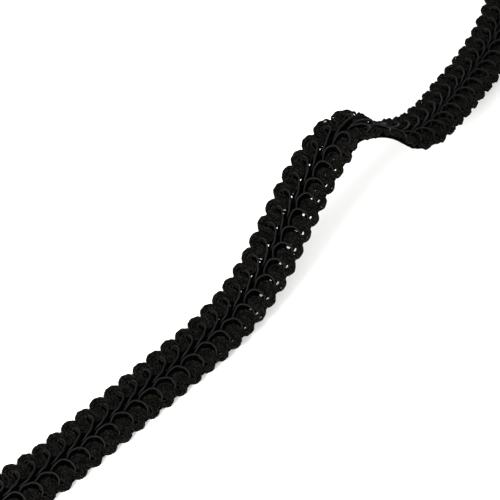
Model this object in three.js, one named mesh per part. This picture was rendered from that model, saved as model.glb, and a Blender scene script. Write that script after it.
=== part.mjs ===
// A cut length of scroll gimp braid trim that lies in a low wave.
// Millimetres, +Z up. The origin is below the middle of the wave, on the surface that it lies on.
// The braid lies flat at both ends. Between them it climbs to a crest, leans over on its left
// edge there, and comes down again, with its face showing all the way.

import * as THREE from "three";

const pitch = 4.5; // one scallop along each edge and one pair of scrolls
const tipWidth = 13.8; // over the tips of the scallops
const scallopDepth = 1.1; // from a scallop's tip to the notch beside it
const leftTip = 0.68; // where the left scallop's tip lies in its repeat
const rightTip = 0.65; // where the right scallop's tip lies in its repeat
const squareRun = 3.5; // repeats at each cut end over which the pattern turns square to the cut
const pathSteps = 2400; // divisions that the length along the path is measured in

// The path of the middle of the underside: a row for each bend.
// lift is the height over the surface, and lean the turn about the path that lowers the left edge.
const path = [
  { x: -76.2, y: -79.5, lift: 0, lean: 0 },
  { x: -55.8, y: -69.8, lift: 0, lean: 0 },
  { x: -39.5, y: -54.9, lift: 0, lean: 0 },
  { x: -20.2, y: -37.8, lift: 0, lean: 0 },
  { x: -11, y: -29.9, lift: 1, lean: 0 },
  { x: -4, y: -22.3, lift: 4, lean: 0 },
  { x: 1.4, y: -14.8, lift: 8, lean: 0 },
  { x: 5.8, y: -6.3, lift: 12, lean: 0 },
  { x: 10.1, y: 1.8, lift: 16, lean: 2 },
  { x: 15, y: 9.5, lift: 20, lean: 5 },
  { x: 20.4, y: 15.2, lift: 23.5, lean: 13 },
  { x: 25.2, y: 15.6, lift: 24, lean: 34 },
  { x: 29.8, y: 15.2, lift: 22, lean: 58 },
  { x: 34.2, y: 15.7, lift: 19, lean: 24 },
  { x: 39.4, y: 17.9, lift: 16, lean: 11 },
  { x: 44.9, y: 24.7, lift: 12.5, lean: 9 },
  { x: 50.7, y: 34.1, lift: 8, lean: 8 },
  { x: 61.7, y: 50.6, lift: 1.5, lean: 3 },
  { x: 68.9, y: 66.8, lift: 0, lean: 0 },
  { x: 72.8, y: 83.8, lift: 0, lean: 0 },
];

// The section, from the right edge over the face to the left edge, and back along the underside.
// across is a share of the half width, ground the height of the plain work, ridge what a scroll
// adds to it, and ahead how far along the scroll lies there, in repeats.
const section = [
  { across: -1, ground: 0.9, ridge: 0, ahead: 0.65 },
  { across: -0.92, ground: 1.6, ridge: 0.15, ahead: 0.65 },
  { across: -0.77, ground: 1.75, ridge: 0.1, ahead: 0.6 },
  { across: -0.63, ground: 1.5, ridge: 0.45, ahead: 0.5 },
  { across: -0.49, ground: 1.35, ridge: 0.85, ahead: 0.62 },
  { across: -0.33, ground: 1.35, ridge: 0.9, ahead: 0.63 },
  { across: -0.16, ground: 1.3, ridge: 0.95, ahead: 0.52 },
  { across: -0.02, ground: 1.15, ridge: 0.95, ahead: 0.29 },
  { across: 0.08, ground: 0.95, ridge: 0.8, ahead: 0.16 },
  { across: 0.19, ground: 1.1, ridge: 0.9, ahead: 0.44 },
  { across: 0.33, ground: 1.25, ridge: 0.95, ahead: 0.76 },
  { across: 0.46, ground: 1.3, ridge: 0.85, ahead: 0.88 },
  { across: 0.62, ground: 1.5, ridge: 0.45, ahead: 0.88 },
  { across: 0.77, ground: 1.75, ridge: 0.1, ahead: 0.74 },
  { across: 0.92, ground: 1.6, ridge: 0.15, ahead: 0.68 },
  { across: 1, ground: 0.9, ridge: 0, ahead: 0.68 },
  { across: 0.85, ground: 0, ridge: 0, ahead: 0.68 },
  { across: -0.85, ground: 0, ridge: 0, ahead: 0.65 },
];

// The rows of one repeat: at is their place in it, and rise the share of the ridge's height there.
// The scroll is a narrow ridge with a dark hollow behind it, and the plain work swells between.
const repeatRows = [
  { at: 0, rise: 1 },
  { at: 0.14, rise: 0 },
  { at: 0.32, rise: 0.3 },
  { at: 0.52, rise: 0.4 },
  { at: 0.72, rise: 0.2 },
  { at: 0.88, rise: -0.35 },
];

// A uniform cubic B-spline through the table's rows, begun and ended on its first and last row.
class BraidPath extends THREE.Curve {
  constructor(rows) {
    super();
    this.arcLengthDivisions = pathSteps;
    const first = this.mirrored(rows[0], rows[1]);
    const last = this.mirrored(rows.at(-1), rows.at(-2));
    this.rows = [first, ...rows, last];
  }

  mirrored(end, next) {
    const row = {};
    for (const key of Object.keys(end)) row[key] = 2 * end[key] - next[key];
    return row;
  }

  blend(key, t) {
    const spans = this.rows.length - 3;
    const span = Math.min(Math.floor(t * spans), spans - 1);
    const s = t * spans - span;
    const weights = [
      (1 - s) ** 3,
      3 * s ** 3 - 6 * s ** 2 + 4,
      -3 * s ** 3 + 3 * s ** 2 + 3 * s + 1,
      s ** 3,
    ];
    return weights.reduce((sum, w, i) => sum + w * this.rows[span + i][key], 0) / 6;
  }

  getPoint(t, target = new THREE.Vector3()) {
    return target.set(this.blend("x", t), this.blend("y", t), this.blend("lift", t));
  }

  leanAt(share) {
    return THREE.MathUtils.degToRad(this.blend("lean", this.getUtoTmapping(share)));
  }
}

const braidPath = new BraidPath(path);
const braidLength = braidPath.getLength();
const up = new THREE.Vector3(0, 0, 1);

// The point at a distance along the braid, to the left of its middle, over its underside.
function pointOnBraid(along, left, height) {
  const share = along / braidLength;
  const tangent = braidPath.getTangentAt(share);
  const level = new THREE.Vector3().crossVectors(up, tangent).normalize();
  const square = new THREE.Vector3().crossVectors(tangent, level);
  const lean = braidPath.leanAt(share);
  level.applyAxisAngle(tangent, -lean);
  square.applyAxisAngle(tangent, -lean);
  return braidPath.getPointAt(share).addScaledVector(level, left).addScaledVector(square, height);
}

// Half the width at a distance along: round tips a repeat apart, with a sharp notch between two.
function halfWidth(along, tip) {
  const wave = Math.abs(Math.cos(Math.PI * (along / pitch - tip)));
  return tipWidth / 2 - scallopDepth * (1 - wave);
}

// The share of the pattern's slant: all of it, but for a run at each cut end.
function slant(along) {
  const run = squareRun * pitch;
  return THREE.MathUtils.smoothstep(Math.min(along, braidLength - along), 0, run);
}

function braidRows() {
  const rows = [{ along: 0, rise: 0 }];
  for (let start = 0; start < braidLength; start += pitch) {
    for (const { at, rise } of repeatRows) {
      const along = start + at * pitch;
      if (along > 0 && along < braidLength - pitch / 10) rows.push({ along, rise });
    }
  }
  rows.push({ along: braidLength, rise: 0 });
  return rows;
}

// One row of the skin, as points round the section.
function ringPoints({ along, rise }) {
  return section.map(({ across, ground, ridge, ahead }) => {
    const shifted = along + slant(along) * ahead * pitch;
    const there = THREE.MathUtils.clamp(shifted, 0, braidLength);
    const half = halfWidth(there, across > 0 ? leftTip : rightTip);
    return pointOnBraid(there, across * half, ground + ridge * rise);
  });
}

// A closed skin over the rows, with a flat cap on each cut end.
function sweptGeometry() {
  const rings = braidRows().map(ringPoints);
  const around = section.length;
  const faces = [];
  for (let i = 0; i + 1 < rings.length; i += 1) {
    for (let j = 0; j < around; j += 1) {
      const k = (j + 1) % around;
      const [a, b] = [i * around + j, i * around + k];
      const [c, d] = [a + around, b + around];
      faces.push(a, c, d, a, d, b);
    }
  }
  const outline = section.map(({ across, ground }) => new THREE.Vector2(across, ground));
  const last = (rings.length - 1) * around;
  for (const [a, b, c] of THREE.ShapeUtils.triangulateShape(outline, [])) {
    faces.push(a, c, b, last + a, last + b, last + c);
  }
  const geometry = new THREE.BufferGeometry().setFromPoints(rings.flat());
  geometry.setIndex(faces);
  geometry.computeVertexNormals();
  return geometry;
}

const blackCotton = new THREE.MeshStandardMaterial({
  name: "black_cotton_gimp",
  color: 0x18171a,
  roughness: 0.85,
  metalness: 0,
});

const braidTrim = new THREE.Mesh(sweptGeometry(), blackCotton);
braidTrim.name = "braid_trim";

const model = new THREE.Group();
model.add(braidTrim);

export default model;
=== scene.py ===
import math

import bpy
import numpy as np
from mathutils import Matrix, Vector


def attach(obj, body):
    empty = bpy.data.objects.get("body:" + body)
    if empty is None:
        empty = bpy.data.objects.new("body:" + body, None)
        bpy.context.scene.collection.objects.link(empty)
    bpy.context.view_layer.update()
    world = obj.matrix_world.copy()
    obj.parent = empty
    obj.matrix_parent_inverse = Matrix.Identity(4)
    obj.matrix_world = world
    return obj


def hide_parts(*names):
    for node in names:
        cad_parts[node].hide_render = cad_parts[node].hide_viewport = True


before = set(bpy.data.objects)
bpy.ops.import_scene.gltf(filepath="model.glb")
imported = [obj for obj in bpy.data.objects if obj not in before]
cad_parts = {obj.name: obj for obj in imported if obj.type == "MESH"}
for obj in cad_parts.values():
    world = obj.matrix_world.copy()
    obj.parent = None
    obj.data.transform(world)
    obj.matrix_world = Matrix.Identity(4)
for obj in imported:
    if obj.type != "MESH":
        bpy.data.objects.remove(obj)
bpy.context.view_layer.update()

# A length of black scroll gimp braid lying in a low wave: every yarn is a tube that follows
# its own looping line along the braid. Metres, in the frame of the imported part.

mm = 0.001
random = np.random.default_rng(41)  # the one source of every uneven thing below

braid = {
    "pitch": 4.5 * mm,  # one scallop along each edge, one pair of scrolls
    "width": 13.8 * mm,  # over the tips of the scallops
    "samples": 200,  # of the path, between two rows of its table
    "spare": 3,  # repeats drawn past each end of the path, and cut away
    "fray": 0.5 * mm,  # the most loose yarn that a cut leaves
    "openUneven": 0.7,  # how far the opening of the work drifts from repeat to repeat, as a share
}

# the middle of the underside, a row for each bend: x, y and lift in metres, the lean to the left in
# degrees, the skew in degrees by which the left edge has slipped ahead, and the share by which the
# work is pulled open
bends = np.array([
    (-0.0762, -0.0795, 0, 0, 0, 0),
    (-0.0558, -0.0698, 0, 0, 0, 0),
    (-0.0395, -0.0549, 0, 0, 0, 0),
    (-0.0202, -0.0378, 0, 0, 0, 0),
    (-0.0110, -0.0299, 0.001, 0, 2, 0.2),
    (-0.0040, -0.0223, 0.004, 0, 6, 0.8),
    (0.0014, -0.0148, 0.008, 0, 10, 1),
    (0.0058, -0.0063, 0.012, 0, 12, 1),
    (0.0101, 0.0018, 0.016, 2, 12, 0.9),
    (0.0150, 0.0095, 0.02, 5, 8, 0.4),
    (0.0204, 0.0152, 0.0235, 13, 2, 0),
    (0.0252, 0.0156, 0.024, 34, 0, 0),
    (0.0298, 0.0152, 0.022, 58, 0, 0),
    (0.0342, 0.0157, 0.019, 24, 0, 0),
    (0.0394, 0.0179, 0.016, 11, 0, 0),
    (0.0449, 0.0247, 0.0125, 9, 0, 0),
    (0.0507, 0.0341, 0.008, 8, 0, 0),
    (0.0617, 0.0506, 0.0015, 3, 0, 0),
    (0.0689, 0.0668, 0, 0, 0, 0),
    (0.0728, 0.0838, 0, 0, 0, 0),
])


# A uniform cubic B-spline: each point is four neighbouring rows times the weights (1-s)^3,
# 3s^3-6s^2+4, -3s^3+3s^2+3s+1 and s^3, over six. The end rows are mirrored, so it starts and
# ends on them.
def splinePoints(rows, samples):
    rows = np.vstack([2 * rows[0] - rows[1], rows, 2 * rows[-1] - rows[-2]])
    s = np.linspace(0, 1, samples, endpoint=False)
    weights = np.array([(1 - s) ** 3, 3 * s**3 - 6 * s**2 + 4, -3 * s**3 + 3 * s**2 + 3 * s + 1, s**3])
    four = np.stack([rows[i : len(rows) - 3 + i] for i in range(4)])
    points = np.einsum("ws,wrc->rsc", weights / 6, four).reshape(-1, rows.shape[1])
    return np.vstack([points, rows[-2]])


def unit(vectors):
    return vectors / np.linalg.norm(vectors, axis=-1, keepdims=True)


# The length run along a line of points, from 0 at its first point.
def runLength(points):
    return np.r_[0, np.cumsum(np.linalg.norm(np.diff(points, axis=0), axis=1))]


pathRows = splinePoints(bends, braid["samples"])
pathPoints = pathRows[:, :3]
pathLength = runLength(pathPoints)
pathAhead = unit(np.gradient(pathPoints, axis=0))
pathLean = np.radians(pathRows[:, 3])
pathSkew = np.tan(np.radians(pathRows[:, 4]))
pathOpen = pathRows[:, 5]
braidLength = pathLength[-1]
repeats = braidLength / braid["pitch"]
print(f"path: {braidLength / mm:.1f} mm, {repeats:.1f} repeats")


# From braid coordinates to the wave: path(along) + left * across + face * height. Left is level,
# square to the path, and face stands on both; both are turned about the path by the lean. Along
# is first moved on by across times the skew's tangent. Past its ends the path runs straight on.
def onWave(along, across, height):
    along = along + across * np.interp(along, pathLength, pathSkew)
    inside = np.clip(along, 0, braidLength)

    def there(column):
        return np.interp(inside, pathLength, column)

    point = np.stack([there(pathPoints[:, k]) for k in range(3)], 1)
    ahead = unit(np.stack([there(pathAhead[:, k]) for k in range(3)], 1))
    lean = there(pathLean)[:, None]
    level = unit(np.cross([0, 0, 1], ahead))
    square = np.cross(ahead, level)
    left = level * np.cos(lean) - square * np.sin(lean)
    face = square * np.cos(lean) + level * np.sin(lean)
    point = point + ahead * (along - inside)[:, None]
    return point + left * across[:, None] + face * height[:, None], face


# A slow uneven drift: the mean of three sines of the repeat number, with random phases.
def drift(turns, size):
    rates = np.array([0.31, 0.77, 1.63])
    phases = random.uniform(0, 2 * np.pi, 3)
    return size * np.sin(2 * np.pi * turns[:, None] * rates + phases).mean(1)


# The share by which the work is pulled open at places along it: the path's own, times one plus a
# drift.
def openShare(along):
    uneven = 1 + drift(along / braid["pitch"], braid["openUneven"])
    return np.interp(along, pathLength, pathOpen) * uneven


# The line of a cord that repeats along the braid, in braid coordinates: its table's rows, moved on
# by a pitch for each repeat, are the rows of one B-spline, and a seeded drift makes it uneven.
def cordLine(cord):
    rows = np.array(cord["rows"])
    starts = np.arange(-braid["spare"], math.ceil(repeats) + braid["spare"])
    tiled = rows[None] + np.stack([starts, 0 * starts, 0 * starts], 1)[:, None]
    points = splinePoints(tiled.reshape(-1, 3), cord["samples"])
    turns = points[:, 0]
    return [turns * braid["pitch"] + drift(turns, cord["uneven"]),
            points[:, 1] * mm + drift(turns, cord["uneven"]),
            points[:, 2] * mm + drift(turns, cord["unevenHeight"])]


# Places along the braid in repeats, evenly spaced by a number of steps to each.
def evenTurns(steps):
    first = -braid["spare"] * steps
    last = (math.ceil(repeats) + braid["spare"]) * steps
    return np.arange(first, last) / steps


# The lines of a bundle of yarns that turns to and fro between the spine and the edge. With a the
# angle of the turn from the edge's tip, its middle is at
# across = inner + (outer - inner) (1 + (1 - point) cos a + point cos 3a) / 2, on its own hand,
# along = (tip + a/2pi + gape sin a + round sin 2a) pitch + rake (across - its tip's across),
# height = mean - crown cos 2a + leg sin a + weave sin(knots a), in turn up and down from yarn to
# yarn. Each yarn is set off square to that, and the first one of a bundle comes in at the tip by
# eye cos^4 a. The gape grows by give where the work is pulled open.
def bundleLines(bundle):
    turns = evenTurns(bundle["steps"])
    a = 2 * np.pi * turns
    point, hand = bundle["point"], bundle["hand"]
    reach = (1 + (1 - point) * np.cos(a) + point * np.cos(3 * a)) / 2
    across = hand * (bundle["inner"] + (bundle["outer"] - bundle["inner"]) * reach)
    along = (bundle["tip"] + turns) * braid["pitch"]
    gape = bundle["gape"] + bundle["give"] * openShare(along)
    along = along + (gape * np.sin(a) + bundle["round"] * np.sin(2 * a)) * braid["pitch"]
    along = along + bundle["rake"] * (across - hand * bundle["outer"])
    step = np.hypot(np.gradient(along), np.gradient(across))
    squareAlong = -hand * np.gradient(across) / step
    squareAcross = hand * np.gradient(along) / step
    lines = []
    for order, offset in enumerate(bundle["offsets"]):
        if order == 0:
            offset = offset - bundle["eye"] * np.clip(np.cos(a), 0, 1) ** 4
        height = bundle["mean"] - bundle["crown"] * np.cos(2 * a) + bundle["leg"] * np.sin(a)
        height = height + bundle["weave"] * np.sin(bundle["knots"] * a + math.pi * order)
        lines.append([along + offset * squareAlong + drift(turns, bundle["uneven"]),
                      across + offset * squareAcross + drift(turns, bundle["uneven"]),
                      height + drift(turns, bundle["unevenHeight"])])
    return lines


# The line of a stay yarn, which runs lengthwise under the turns: across is its place where the work
# lies flat, and slip times the open share more where it is pulled open, with a drift.
def stayLine(place, slip):
    turns = evenTurns(stays["steps"])
    along = turns * braid["pitch"]
    across = place + slip * openShare(along)
    return [along, across * mm + drift(turns, stays["uneven"]), np.full_like(turns, stays["height"])]


# The stretches of a line that lie between the two cut ends, each as a slice. A cut leaves loose
# yarn, up to the fray, and a stretch of fewer points than fewest is left out.
def cutStretches(along, fewest=4):
    loose = random.uniform(0, braid["fray"], 2)
    kept = (along > -loose[0]) & (along < braidLength + loose[1])
    edges = np.flatnonzero(np.diff(np.r_[False, kept, False]))
    return [slice(a, b) for a, b in zip(edges[::2], edges[1::2]) if b - a >= fewest]


# A closed tube along a line: ring point = line + thickness (cos t * side + sin t * face), where
# side = ahead x facing and face = side x ahead. In its maps u is the length along the yarn in
# millimetres, and v the turn about it, from 0 to 1.
def tube(line, facing, thickness, sides):
    ahead = unit(np.gradient(line, axis=0))
    side = unit(np.cross(ahead, facing))
    face = np.cross(side, ahead)
    t = np.linspace(0, 2 * np.pi, sides, endpoint=False)[None, :, None]
    ring = np.cos(t) * side[:, None] + np.sin(t) * face[:, None]
    points = line[:, None] + thickness[:, None, None] * ring
    rings = len(line)
    i, j = np.meshgrid(np.arange(rings - 1), np.arange(sides), indexing="ij")
    k = (j + 1) % sides
    quads = np.stack([i * sides + j, (i + 1) * sides + j, (i + 1) * sides + k, i * sides + k], -1)
    caps = np.stack([np.arange(sides), (rings - 1) * sides + np.arange(sides)[::-1]])
    length = runLength(line) / mm
    quadLength = np.stack([length[i], length[i + 1], length[i + 1], length[i]], -1)
    quadTurn = np.stack([j, j, j + 1, j + 1], -1) / sides
    capLength = np.broadcast_to(length[[0, -1]][:, None], (2, sides))
    capTurn = caps % sides / sides
    return {
        "points": points.reshape(-1, 3),
        "quads": quads.reshape(-1, 4),
        "caps": caps,
        "quadMap": np.stack([quadLength, quadTurn], -1).reshape(-1, 2),
        "capMap": np.stack([capLength, capTurn], -1).reshape(-1, 2),
    }


# Joins tubes into one mesh, written straight from arrays: every tube's points, then the quads and
# the caps of all, each numbered on from the points of the tubes before.
def addPiece(name, tubes, material):
    starts = np.cumsum([0] + [len(made["points"]) for made in tubes])
    points = np.concatenate([made["points"] for made in tubes])
    quads = np.concatenate([made["quads"] + at for made, at in zip(tubes, starts)])
    caps = np.concatenate([made["caps"] + at for made, at in zip(tubes, starts)])
    corners = np.concatenate([quads.ravel(), caps.ravel()])
    cornerMap = np.concatenate([made["quadMap"] for made in tubes] + [made["capMap"] for made in tubes])
    quadFirst = np.arange(len(quads)) * 4
    capFirst = quads.size + np.arange(len(caps)) * caps.shape[1]
    first = np.concatenate([quadFirst, capFirst])
    mesh = bpy.data.meshes.new(name)
    mesh.vertices.add(len(points))
    mesh.vertices.foreach_set("co", points.astype(np.float32).ravel())
    mesh.loops.add(len(corners))
    mesh.loops.foreach_set("vertex_index", corners.astype(np.int32))
    mesh.polygons.add(len(first))
    mesh.polygons.foreach_set("loop_start", first.astype(np.int32))
    mesh.polygons.foreach_set("use_smooth", np.arange(len(first)) < len(quads))
    mesh.update(calc_edges=True)
    layer = mesh.uv_layers.new(name="alongYarn")
    layer.uv.foreach_set("vector", cornerMap.astype(np.float32).ravel())
    mesh.materials.append(material)
    mesh.validate()
    piece = bpy.data.objects.new(name, mesh)
    bpy.context.scene.collection.objects.link(piece)
    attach(piece, "root")
    mesh.calc_loop_triangles()
    print(f"{name}: {len(tubes)} yarns, {len(mesh.loop_triangles)} triangles")
    return piece


# An sRGB hex colour as linear red, green, blue and alpha.
def linear(hexColour):
    channels = [int(hexColour[k : k + 2], 16) / 255 for k in (1, 3, 5)]
    return [c / 12.92 if c <= 0.04045 else ((c + 0.055) / 1.055) ** 2.4 for c in channels] + [1.0]


# Adds one node: settings are its properties or its inputs' values, links its inputs' sources. An
# input without a name of its own goes by its number.
def addNode(tree, kind, settings=(), links=()):
    node = tree.nodes.new(kind)
    for key, value in dict(settings).items():
        if isinstance(key, str) and hasattr(node, key):
            setattr(node, key, value)
        else:
            node.inputs[key].default_value = value
    for key, source in dict(links).items():
        tree.links.new(source, node.inputs[key])
    return node


# Spun yarn. Its plies lie in a twist round it, drawn as a sine of 2 pi (v plies + u / lay), and
# loose fibres break that up, drawn as noise stretched along the yarn; their sum is the relief. The
# dye goes from dark to light in patches, drawn as noise between two levels. On top of that comes
# painted shade from the relief: darker in the valleys of the twist and between fibres, lighter on
# their tops.
def yarnMaterial(name, finish):
    material = bpy.data.materials.new(name)
    material.use_nodes = True
    tree = material.node_tree
    tree.nodes.clear()
    yarnMap = addNode(tree, "ShaderNodeUVMap", {"uv_map": "alongYarn"})
    twist = addNode(tree, "ShaderNodeVectorMath", {
        "operation": "DOT_PRODUCT",
        1: (1 / finish["lay"], finish["plies"], 0),
    }, {0: yarnMap.outputs["UV"]})
    turn = addNode(tree, "ShaderNodeMath", {
        "operation": "MULTIPLY",
        1: 2 * math.pi,
    }, {0: twist.outputs["Value"]})
    ridge = addNode(tree, "ShaderNodeMath", {"operation": "SINE"}, {0: turn.outputs["Value"]})
    fibreSpread = addNode(tree, "ShaderNodeMapping", {
        "Scale": (finish["fibreAlong"], finish["fibreRound"], 1),
    }, {"Vector": yarnMap.outputs["UV"]})
    fibres = addNode(tree, "ShaderNodeTexNoise", {
        "Scale": 1.0,
        "Detail": 3.0,
        "Roughness": 0.6,
    }, {"Vector": fibreSpread.outputs["Vector"]})
    relief = addNode(tree, "ShaderNodeMath", {
        "operation": "MULTIPLY_ADD",
        1: finish["fibreShare"],
    }, {0: fibres.outputs["Fac"], 2: ridge.outputs["Value"]})
    bump = addNode(tree, "ShaderNodeBump", {
        "Strength": finish["bump"],
        "Distance": finish["bumpHeight"],
    }, {"Height": relief.outputs["Value"]})
    place = addNode(tree, "ShaderNodeTexCoord")
    patches = addNode(tree, "ShaderNodeTexNoise", {
        "Scale": finish["patchScale"],
        "Detail": 2.0,
    }, {"Vector": place.outputs["Object"]})
    worn = addNode(tree, "ShaderNodeMapRange", {
        "From Min": finish["wornFrom"],
        "From Max": finish["wornTo"],
    }, {"Value": patches.outputs["Fac"]})
    # painted shade from the relief: the worn patches, darkened in the valleys of the twist and between
    # fibres and lightened on their tops
    paintedReliefShade = addNode(tree, "ShaderNodeMath", {
        "operation": "MULTIPLY_ADD",
        1: finish["paintedReliefShade"],
    }, {0: relief.outputs["Value"], 2: worn.outputs["Result"]})
    tint = addNode(tree, "ShaderNodeMix", {
        "data_type": "RGBA",
        "A": linear(finish["dark"]),
        "B": linear(finish["light"]),
    }, {"Factor": paintedReliefShade.outputs["Value"]})
    shader = addNode(tree, "ShaderNodeBsdfPrincipled", {
        "Roughness": finish["roughness"],
        "IOR": 1.5,
        "Specular IOR Level": finish["specular"],
    }, {"Base Color": tint.outputs["Result"], "Normal": bump.outputs["Normal"]})
    addNode(tree, "ShaderNodeOutputMaterial", {}, {"Surface": shader.outputs["BSDF"]})
    return material


# viscose rayon wound round a cotton core: a smooth cord with a low satin gleam along its back
scrollCordFinish = {
    "dark": "#070708",
    "light": "#0d0d0e",
    "roughness": 0.45,
    "specular": 0.08,
    "plies": 1,  # one filament wound round the core
    "lay": 0.3,  # millimetres of cord for each turn of a ply
    "fibreAlong": 9.0,  # the fibres' scale along the yarn, for each millimetre
    "fibreRound": 6.0,  # and round it, for each turn
    "fibreShare": 0.5,  # of the relief, where the plies' is 1
    "bump": 0.35,
    "bumpHeight": 0.02 * mm,
    "patchScale": 90.0,  # for each metre: patches of about a centimetre
    "wornFrom": 0.42,  # the noise levels at which the dye is still dark
    "wornTo": 0.68,  # and is light
    "paintedReliefShade": 0.0,  # how much painted shade follows the relief: darker in its hollows, lighter on its tops
}
# soft spun cotton, dyed black: matt, thick in its twist, a little brown where it is worn, and with
# painted shade in the valleys of its twist
padYarnFinish = {
    "dark": "#010101",
    "light": "#14130f",
    "roughness": 0.9,
    "specular": 0.05,
    "plies": 2,
    "lay": 1.1,
    "fibreAlong": 3.5,
    "fibreRound": 4.0,
    "fibreShare": 1.6,
    "bump": 1.0,
    "bumpHeight": 0.14 * mm,
    "patchScale": 1000.0,  # patches of about a millimetre
    "wornFrom": 0.42,
    "wornTo": 0.68,
    # painted shade: the relief darkens the dye in the valleys of the twist
    "paintedReliefShade": 0.25,
}
# a shaded copy of the same cotton, for the yarns under the face: its near-black colour is painted
# shade, so that gaps look black
paintedShadeYarnFinish = {**padYarnFinish, "light": "#020202", "specular": 0.01}

# the two satin cords, as rows of along in repeats, across and height in millimetres: they rise at
# the spine, arch outwards over the work, hook back near the margin and return under it
scrollCords = {
    "right": {"samples": 7, "uneven": 0.2 * mm, "unevenHeight": 0.06 * mm, "rows": [
        (0.85, 0.35, 1.3), (1.38, -0.15, 2.0), (1.68, -2.05, 2.1), (1.63, -4.0, 1.8),
        (1.35, -4.8, 1.1), (1.07, -4.0, 0.3), (1.02, -2.05, 0.2), (1.32, -0.8, 0.0),
    ]},
    "left": {"samples": 6, "uneven": 0.2 * mm, "unevenHeight": 0.06 * mm, "rows": [
        (-0.20, 0.75, 0.6), (0.03, 0.7, 1.6), (0.29, 0.85, 2.0), (0.57, 1.15, 2.1), (0.87, 1.9, 2.1),
        (1.12, 2.9, 2.1), (0.95, 4.6, 1.8), (0.70, 4.4, 0.9), (0.62, 2.2, 0.3), (0.75, 0.7, 0.4),
    ]},
    "radius": 0.27 * mm,
    "sides": 8,
}
# the soft yarns of either half, in bundles of three: their outer turns are the scallops, and a
# lower bundle under each upper one reaches on to the spine
evenBundle = {
    "offsets": (-0.5 * mm, 0.12 * mm, 0.74 * mm),
    "point": 0.03,
    "rake": -0.25,
    "eye": 0.0,
    "weave": 0.2 * mm,
    "knots": 10.6,
    "uneven": 0.14 * mm,
    "unevenHeight": 0.07 * mm,
    "steps": 48,
    "radius": 0.33 * mm,
    "slub": 0.2,  # how much the yarn swells and thins, as a share of its radius
    "sides": 6,
}
upperBundle = {
    **evenBundle,
    "outer": 5.84 * mm,
    "mean": 1.4 * mm,
    "crown": 0.12 * mm,
    "leg": 0.16 * mm,
    "round": 0.12,
    "gape": 0.0,
    "give": 0.02,
}
lowerBundle = {
    **evenBundle,
    "outer": 5.72 * mm,
    "mean": 0.7 * mm,
    "crown": 0.0,
    "leg": -0.1 * mm,
    "round": 0.14,
    "gape": -0.08,
    "give": 0.1,
}
bundles = {
    "upper": [
        {**upperBundle, "hand": -1, "tip": 0.65, "inner": 1.8 * mm},
        {**upperBundle, "hand": 1, "tip": 0.68, "inner": 2.2 * mm, "eye": 0.3 * mm},
    ],
    "lower": [
        {**lowerBundle, "hand": -1, "tip": 0.65, "inner": 1.2 * mm},
        {**lowerBundle, "hand": 1, "tip": 0.68, "inner": 1.3 * mm},
    ],
}
# the lengthwise stay yarns that hold the turns, by their places across in millimetres. Four of them
# slip aside where the work is pulled open, by so many millimetres, and gaps show beside them.
stays = {
    "places": (-5.5, -4.8, -4.1, -3.6, -2.9, -2.2, -1.7, -1.2, -0.7, -0.2, 0.3,
               0.8, 1.3, 1.6, 2.2, 2.85, 3.3, 3.8, 4.3, 4.8, 5.2, 5.6),
    "slips": {-4.8: -0.4, -2.9: -0.45, -2.2: 0.1, 2.2: 0.45},
    "height": 0.36 * mm,
    "uneven": 0.1 * mm,
    "radius": 0.31 * mm,
    "steps": 10,
    "sides": 6,
}


# The tubes of one yarn: its thickness swells and thins by slub, as a drift of slubPace times the
# repeat number.
def yarnTubes(line, radius, sides, slub=0, slubPace=4):
    points, facing = onWave(*line)
    turns = line[0] / braid["pitch"]
    thickness = radius * (1 + drift(slubPace * turns, slub))
    return [tube(points[cut], facing[cut], thickness[cut], sides) for cut in cutStretches(line[0])]


cordTubes = []
for hand in ("right", "left"):
    cordTubes += yarnTubes(cordLine(scrollCords[hand]), scrollCords["radius"], scrollCords["sides"])
scrolls = addPiece("scroll_cords", cordTubes, yarnMaterial("rayonScrollCord", scrollCordFinish))

padYarn = yarnMaterial("cottonPadYarn", padYarnFinish)
# the painted-shade copy of the cotton, near black, for the lower yarns and the stays
paintedShadeYarn = yarnMaterial("cottonPaintedShadeYarn", paintedShadeYarnFinish)
for layer, both in bundles.items():
    yarns = []
    for bundle in both:
        for line in bundleLines(bundle):
            yarns += yarnTubes(line, bundle["radius"], bundle["sides"], bundle["slub"])
    # the lower bundles take the painted-shade copy
    addPiece(f"{layer}_ground_yarns", yarns, padYarn if layer == "upper" else paintedShadeYarn)
stayTubes = []
for place in stays["places"]:
    line = stayLine(place, stays["slips"].get(place, 0))
    stayTubes += yarnTubes(line, stays["radius"], stays["sides"])
# the stays take the painted-shade copy too
stayYarns = addPiece("stay_yarns", stayTubes, paintedShadeYarn)

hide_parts("braid_trim")
print("braid made")

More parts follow.
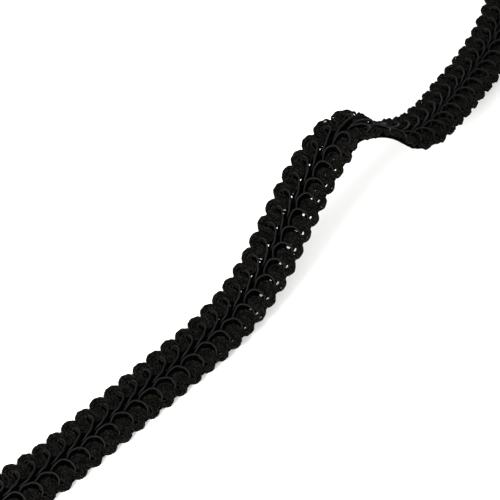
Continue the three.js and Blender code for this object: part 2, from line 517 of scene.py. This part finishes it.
# the photograph's view: 65 degrees over the surface, the far end at 0.87 of the near end's scale
view = {
    "target": Vector((-0.003, -0.0065, 0)),
    "distance": 0.375,
    "elevation": 65,
    "lens": 105.3,
    "sensor": 36,
    "nearest": 0.01,
}
cameraData = bpy.data.cameras.new("camera")
cameraData.lens = view["lens"]
cameraData.sensor_width = view["sensor"]
cameraData.clip_start = view["nearest"]
camera = bpy.data.objects.new("camera", cameraData)
bpy.context.scene.collection.objects.link(camera)
tilt = math.radians(view["elevation"])
back = Vector((0, -math.cos(tilt), math.sin(tilt)))
camera.location = view["target"] + back * view["distance"]
camera.rotation_euler = (-back).to_track_quat("-Z", "Y").to_euler()
bpy.context.scene.camera = camera

# a pale table under a bright sky, and a low soft key from the near left: the climbing stretch
# catches it, and the stretch past the crest turns away from it
room = {
    "floorSize": 3.0,
    "floor": "#f4f4f2",
    "floorRoughness": 0.9,
    "floorSpecular": 0.1,
    "key": {"place": (-0.28, -0.22, 0.28), "size": 0.2, "watts": 3.0},
    "fill": {"place": (0.5, -0.5, 0.8), "size": 0.8, "watts": 1.0},
    "sky": 1.4,
}
half = room["floorSize"] / 2
floorCorners = [(-half, -half, 0), (half, -half, 0), (half, half, 0), (-half, half, 0)]
floorMesh = bpy.data.meshes.new("floor")
floorMesh.from_pydata(floorCorners, [], [(0, 1, 2, 3)])
floor = bpy.data.objects.new("floor", floorMesh)
bpy.context.scene.collection.objects.link(floor)
floorMaterial = bpy.data.materials.new("paleTable")
floorMaterial.use_nodes = True
floorShader = floorMaterial.node_tree.nodes["Principled BSDF"]
floorShader.inputs["Base Color"].default_value = linear(room["floor"])
floorShader.inputs["Roughness"].default_value = room["floorRoughness"]
floorShader.inputs["Specular IOR Level"].default_value = room["floorSpecular"]
floorMesh.materials.append(floorMaterial)
for name in ("key", "fill"):
    lamp = room[name]
    light = bpy.data.lights.new(name, "AREA")
    light.size = lamp["size"]
    light.energy = lamp["watts"]
    lightObject = bpy.data.objects.new(name, light)
    lightObject.location = lamp["place"]
    lightObject.rotation_euler = (-Vector(lamp["place"])).to_track_quat("-Z", "Y").to_euler()
    bpy.context.scene.collection.objects.link(lightObject)
world = bpy.data.worlds.new("studio")
world.use_nodes = True
world.node_tree.nodes["Background"].inputs["Color"].default_value = (1, 1, 1, 1)
world.node_tree.nodes["Background"].inputs["Strength"].default_value = room["sky"]
bpy.context.scene.world = world
bpy.context.scene.view_settings.view_transform = "Standard"  # keeps the pale table white
print("camera, table and lights set")
